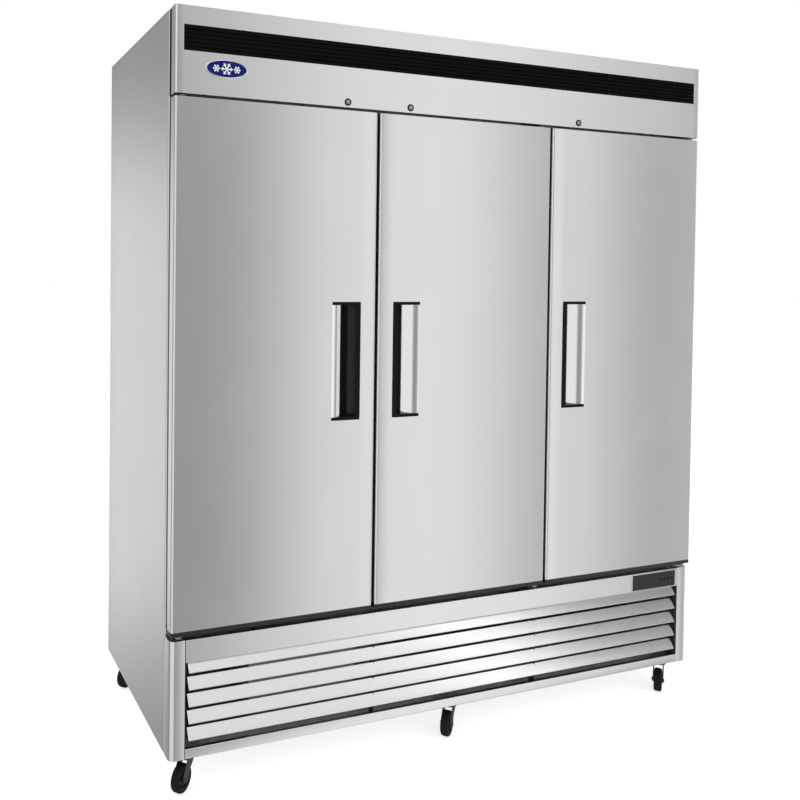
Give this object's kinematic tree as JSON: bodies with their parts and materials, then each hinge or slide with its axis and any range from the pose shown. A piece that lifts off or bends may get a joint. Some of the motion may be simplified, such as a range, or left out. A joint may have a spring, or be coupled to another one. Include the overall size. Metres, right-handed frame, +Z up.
{
  "type": "reach in refrigerator",
  "caption": "Stainless reach-in refrigerator with solid doors, recessed handles, a louvred header, a slatted base grille and swivel casters.",
  "frame": {"origin": "on the floor, under the middle of the cabinet", "axes": "+Z up, -Y towards the doors, +X to the right as seen from the front"},
  "size_m": [1.83, 0.7898, 2.115],
  "materials": {
    "stainless_front": "brushed",
    "stainless_body": "brushed",
    "galvanised": "satin",
    "liner": "satin",
    "foam": "rough",
    "black_plastic": "satin",
    "gloss_black": "gloss",
    "badge": "gloss",
    "zinc_steel": "satin",
    "shelf_wire": "satin",
    "copper_fin": "satin",
    "unit_black": "satin",
    "lock_metal": "polished",
    "fan_plastic": "satin",
    "gasket": "matte",
    "handle": "satin",
    "door_liner": "brushed",
    "caster_steel": "satin",
    "wheel_rubber": "matte",
    "key": "gloss"
  },
  "bodies": {
    "cabinet": {"left_side_panel": "stainless_body", "right_side_panel": "stainless_body", "back_panel": "galvanised", "top_panel": "galvanised", "insulation": "foam", "inner_liner": "liner", "front_frame": "stainless_body", "header_panel": "stainless_front", "header_trim": "black_plastic", "badge": "badge", "grille_panel": "stainless_front", "corner_posts": "stainless_front", "base_frame": "galvanised", "hinge_brackets": "zinc_steel", "shelves": "shelf_wire", "shelf_supports": "shelf_wire", "evaporator_cover": "liner", "evaporator_coil": "copper_fin", "condensing_unit": "unit_black", "condenser_coil": "copper_fin", "control_panel": "gloss_black", "lock_bodies": "lock_metal", "caster_plates": "caster_steel"},
    "left_door": {"left_door_skin": "stainless_front", "left_door_core": "door_liner", "left_door_caps": "black_plastic", "left_door_gasket": "gasket", "left_door_handle": "handle"},
    "middle_door": {"middle_door_skin": "stainless_front", "middle_door_core": "door_liner", "middle_door_caps": "black_plastic", "middle_door_gasket": "gasket", "middle_door_handle": "handle"},
    "right_door": {"right_door_skin": "stainless_front", "right_door_core": "door_liner", "right_door_caps": "black_plastic", "right_door_gasket": "gasket", "right_door_handle": "handle"},
    "left_lock": {"left_lock_plug": "lock_metal"},
    "middle_lock": {"middle_lock_plug": "lock_metal"},
    "right_lock": {"right_lock_plug": "lock_metal"},
    "left_evaporator_rotor": {"left_evaporator_fan": "fan_plastic"},
    "right_evaporator_rotor": {"right_evaporator_fan": "fan_plastic"},
    "condenser_rotor": {"condenser_fan": "fan_plastic"},
    "set_button": {"key_set": "key"},
    "up_button": {"key_up": "key"},
    "down_button": {"key_down": "key"},
    "power_button": {"key_power": "key"},
    "front_left_caster": {"front_left_fork": "caster_steel"},
    "front_middle_caster": {"front_middle_fork": "caster_steel"},
    "front_right_caster": {"front_right_fork": "caster_steel"},
    "rear_left_caster": {"rear_left_fork": "caster_steel"},
    "rear_middle_caster": {"rear_middle_fork": "caster_steel"},
    "rear_right_caster": {"rear_right_fork": "caster_steel"},
    "front_left_roller": {"front_left_wheel": "wheel_rubber"},
    "front_middle_roller": {"front_middle_wheel": "wheel_rubber"},
    "front_right_roller": {"front_right_wheel": "wheel_rubber"},
    "rear_left_roller": {"rear_left_wheel": "wheel_rubber"},
    "rear_middle_roller": {"rear_middle_wheel": "wheel_rubber"},
    "rear_right_roller": {"rear_right_wheel": "wheel_rubber"}
  },
  "joints": [
    {"name": "left_door_hinge", "type": "hinge", "parent": "cabinet", "child": "left_door", "pos_m": [-0.889, -0.376, 1.16], "axis": [0, 0, -1], "range_deg": [0, 120], "stiffness_Nm_per_rad": 4, "springref_deg": -45.84},
    {"name": "middle_door_hinge", "type": "hinge", "parent": "cabinet", "child": "middle_door", "pos_m": [0.27633, -0.376, 1.16], "axis": [0, 0, 1], "range_deg": [0, 120], "stiffness_Nm_per_rad": 4, "springref_deg": -45.84},
    {"name": "right_door_hinge", "type": "hinge", "parent": "cabinet", "child": "right_door", "pos_m": [0.889, -0.376, 1.16], "axis": [0, 0, 1], "range_deg": [0, 120], "stiffness_Nm_per_rad": 4, "springref_deg": -45.84},
    {"name": "left_lock_turn", "type": "hinge", "parent": "cabinet", "child": "left_lock", "pos_m": [-0.40833, -0.392, 1.899], "axis": [0, -1, 0], "range_deg": [0, 90]},
    {"name": "middle_lock_turn", "type": "hinge", "parent": "cabinet", "child": "middle_lock", "pos_m": [-0.20433, -0.392, 1.899], "axis": [0, 1, 0], "range_deg": [0, 90]},
    {"name": "right_lock_turn", "type": "hinge", "parent": "cabinet", "child": "right_lock", "pos_m": [0.40833, -0.392, 1.899], "axis": [0, 1, 0], "range_deg": [0, 90]},
    {"name": "left_evaporator_fan_spin", "type": "hinge", "parent": "cabinet", "child": "left_evaporator_rotor", "pos_m": [-0.42, 0.096, 1.952], "axis": [0, -1, 0], "continuous": true},
    {"name": "right_evaporator_fan_spin", "type": "hinge", "parent": "cabinet", "child": "right_evaporator_rotor", "pos_m": [0.42, 0.096, 1.952], "axis": [0, -1, 0], "continuous": true},
    {"name": "condenser_fan_spin", "type": "hinge", "parent": "cabinet", "child": "condenser_rotor", "pos_m": [-0.48, -0.1868, 0.25], "axis": [0, 1, 0], "continuous": true},
    {"name": "set_key_press", "type": "slide", "parent": "cabinet", "child": "set_button", "axis": [0, 1, 0], "range_m": [0, 0.0008], "stiffness_N_per_m": 400},
    {"name": "up_key_press", "type": "slide", "parent": "cabinet", "child": "up_button", "axis": [0, 1, 0], "range_m": [0, 0.0008], "stiffness_N_per_m": 400},
    {"name": "down_key_press", "type": "slide", "parent": "cabinet", "child": "down_button", "axis": [0, 1, 0], "range_m": [0, 0.0008], "stiffness_N_per_m": 400},
    {"name": "power_key_press", "type": "slide", "parent": "cabinet", "child": "power_button", "axis": [0, 1, 0], "range_m": [0, 0.0008], "stiffness_N_per_m": 400},
    {"name": "front_left_swivel", "type": "hinge", "parent": "cabinet", "child": "front_left_caster", "pos_m": [-0.849, -0.332, 0.09], "axis": [0, 0, 1], "continuous": true},
    {"name": "front_left_wheel_spin", "type": "hinge", "parent": "front_left_caster", "child": "front_left_roller", "pos_m": [-0.87013, -0.35037, 0.0375], "axis": [0.6561, -0.7547, 0], "continuous": true},
    {"name": "front_middle_swivel", "type": "hinge", "parent": "cabinet", "child": "front_middle_caster", "pos_m": [0, -0.332, 0.09], "axis": [0, 0, 1], "continuous": true},
    {"name": "front_middle_wheel_spin", "type": "hinge", "parent": "front_middle_caster", "child": "front_middle_roller", "pos_m": [-0.02113, -0.35037, 0.0375], "axis": [0.6561, -0.7547, 0], "continuous": true},
    {"name": "front_right_swivel", "type": "hinge", "parent": "cabinet", "child": "front_right_caster", "pos_m": [0.849, -0.332, 0.09], "axis": [0, 0, 1], "continuous": true},
    {"name": "front_right_wheel_spin", "type": "hinge", "parent": "front_right_caster", "child": "front_right_roller", "pos_m": [0.82787, -0.35037, 0.0375], "axis": [0.6561, -0.7547, 0], "continuous": true},
    {"name": "rear_left_swivel", "type": "hinge", "parent": "cabinet", "child": "rear_left_caster", "pos_m": [-0.849, 0.327, 0.09], "axis": [0, 0, 1], "continuous": true},
    {"name": "rear_left_wheel_spin", "type": "hinge", "parent": "rear_left_caster", "child": "rear_left_roller", "pos_m": [-0.87013, 0.30863, 0.0375], "axis": [0.6561, -0.7547, 0], "continuous": true},
    {"name": "rear_middle_swivel", "type": "hinge", "parent": "cabinet", "child": "rear_middle_caster", "pos_m": [0, 0.327, 0.09], "axis": [0, 0, 1], "continuous": true},
    {"name": "rear_middle_wheel_spin", "type": "hinge", "parent": "rear_middle_caster", "child": "rear_middle_roller", "pos_m": [-0.02113, 0.30863, 0.0375], "axis": [0.6561, -0.7547, 0], "continuous": true},
    {"name": "rear_right_swivel", "type": "hinge", "parent": "cabinet", "child": "rear_right_caster", "pos_m": [0.849, 0.327, 0.09], "axis": [0, 0, 1], "continuous": true},
    {"name": "rear_right_wheel_spin", "type": "hinge", "parent": "rear_right_caster", "child": "rear_right_roller", "pos_m": [0.82787, 0.30863, 0.0375], "axis": [0.6561, -0.7547, 0], "continuous": true}
  ]
}
